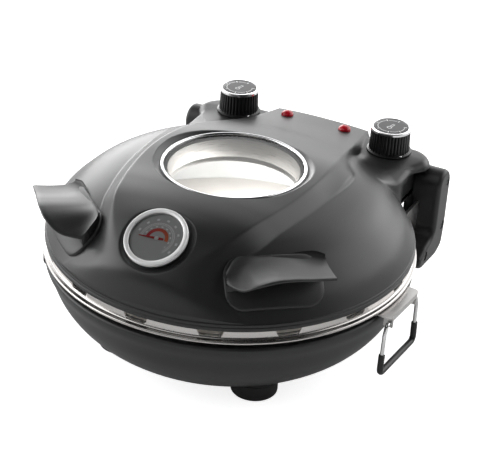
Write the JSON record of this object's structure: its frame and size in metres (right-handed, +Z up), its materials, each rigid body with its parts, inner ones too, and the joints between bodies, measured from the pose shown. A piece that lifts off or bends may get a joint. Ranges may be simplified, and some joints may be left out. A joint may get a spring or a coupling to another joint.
{
  "type": "electric pizza maker",
  "caption": "Round countertop cooker with a domed hinged lid, window, temperature gauge, two dials and lamps, a notched steel rim, a baking stone, grips, side bails and feet",
  "frame": {"origin": "on the table under the middle of the closed cooker's overall box", "axes": "+X to the user's right, +Y to the hinge at the rear, +Z up"},
  "size_m": [0.381, 0.3844, 0.1862],
  "materials": {
    "satin_black": "satin",
    "lid_black": "satin",
    "rim_steel": "brushed round the rim",
    "liner_steel": "bright rolled sheet",
    "bracket_steel": "bare rolled sheet",
    "arm_black": "fine matt",
    "screw_black": "blackened",
    "pin_steel": "ground",
    "foot_black": "matt",
    "heater_steel": "heat tinted",
    "stone_clay": "fired clay, matt",
    "wire_chrome": "plated wire",
    "sleeve_black": "soft sleeve",
    "clear_glass": "clear",
    "bright_chrome": "polished",
    "cup_grey": "dull",
    "dial_grey": "printed scale",
    "needle_red": "painted",
    "knob_black": "gloss",
    "cap_grey": "printed scale",
    "mechanism_grey": "moulded housing",
    "lamp_red": "clear red"
  },
  "bodies": {
    "base": {"base_bowl": "satin_black", "base_pan": "rim_steel", "bottom_cover": "bracket_steel", "cord_gland": "foot_black", "foot_front_left": "foot_black", "foot_front_right": "foot_black", "foot_rear_left": "foot_black", "foot_rear_right": "foot_black", "lower_element": "heater_steel", "lower_clip_left": "bracket_steel", "lower_clip_right": "bracket_steel", "hinge_arm_left": "arm_black", "hinge_arm_right": "arm_black", "hinge_pin_left": "pin_steel", "hinge_pin_right": "pin_steel", "hinge_bracket_left": "bracket_steel", "hinge_bracket_right": "bracket_steel", "arm_screw_top_left": "screw_black", "arm_screw_top_right": "screw_black", "arm_screw_middle_left": "screw_black", "arm_screw_middle_right": "screw_black", "arm_screw_bottom_left": "screw_black", "arm_screw_bottom_right": "screw_black", "bail_bracket_left": "bracket_steel", "bail_bracket_right": "bracket_steel"},
    "lid": {"lid_shell": "lid_black", "housing_floor": "arm_black", "lid_reflector": "liner_steel", "upper_element": "heater_steel", "upper_clip_left": "bracket_steel", "upper_clip_right": "bracket_steel", "window_well": "liner_steel", "window_glass": "clear_glass", "window_bezel": "bright_chrome", "gauge_cup": "cup_grey", "gauge_lens": "clear_glass", "gauge_bezel": "bright_chrome", "gauge_dial": "dial_grey", "handle_left": "arm_black", "handle_right": "arm_black", "timer_mechanism": "mechanism_grey", "thermostat_mechanism": "mechanism_grey", "pilot_lamp_left": "lamp_red", "pilot_lamp_right": "lamp_red"},
    "needle": {"gauge_needle": "needle_red"},
    "stone": {"baking_stone": "stone_clay"},
    "bail_right": {"bail_right": "wire_chrome", "bail_sleeve_right": "sleeve_black"},
    "bail_left": {"bail_left": "wire_chrome", "bail_sleeve_left": "sleeve_black"},
    "timer": {"timer_knob": "knob_black", "timer_ring": "bright_chrome", "timer_cap": "cap_grey", "timer_pointer": "bright_chrome", "timer_spindle": "pin_steel"},
    "thermostat": {"thermostat_knob": "knob_black", "thermostat_ring": "bright_chrome", "thermostat_cap": "cap_grey", "thermostat_pointer": "bright_chrome", "thermostat_spindle": "pin_steel"}
  },
  "joints": [
    {"name": "lid_hinge", "type": "hinge", "parent": "base", "child": "lid", "pos_m": [0, 0.17625, 0.121], "axis": [-1, 0, 0], "range_deg": [0, 95]},
    {"name": "timer_turn", "type": "hinge", "parent": "lid", "child": "timer", "pos_m": [-0.087, 0.16275, 0.159], "axis": [0, 0, -1], "range_deg": [0, 300]},
    {"name": "thermostat_turn", "type": "hinge", "parent": "lid", "child": "thermostat", "pos_m": [0.087, 0.16275, 0.159], "axis": [0, 0, -1], "range_deg": [0, 270]},
    {"name": "gauge_sweep", "type": "hinge", "parent": "lid", "child": "needle", "pos_m": [0, -0.15425, 0.1695], "axis": [0, 0.515, -0.8572], "range_deg": [0, 225]},
    {"name": "bail_right_swing", "type": "hinge", "parent": "base", "child": "bail_right", "pos_m": [0.18505, -0.02569, 0.088], "axis": [-0.0698, -0.9976, 0], "range_deg": [-18, 88]},
    {"name": "bail_left_swing", "type": "hinge", "parent": "base", "child": "bail_left", "pos_m": [-0.18505, -0.02569, 0.088], "axis": [-0.0698, 0.9976, 0], "range_deg": [-18, 88]},
    {"name": "stone_lift", "type": "slide", "parent": "base", "child": "stone", "axis": [0, 0, 1], "range_m": [0, 0.02]}
  ]
}
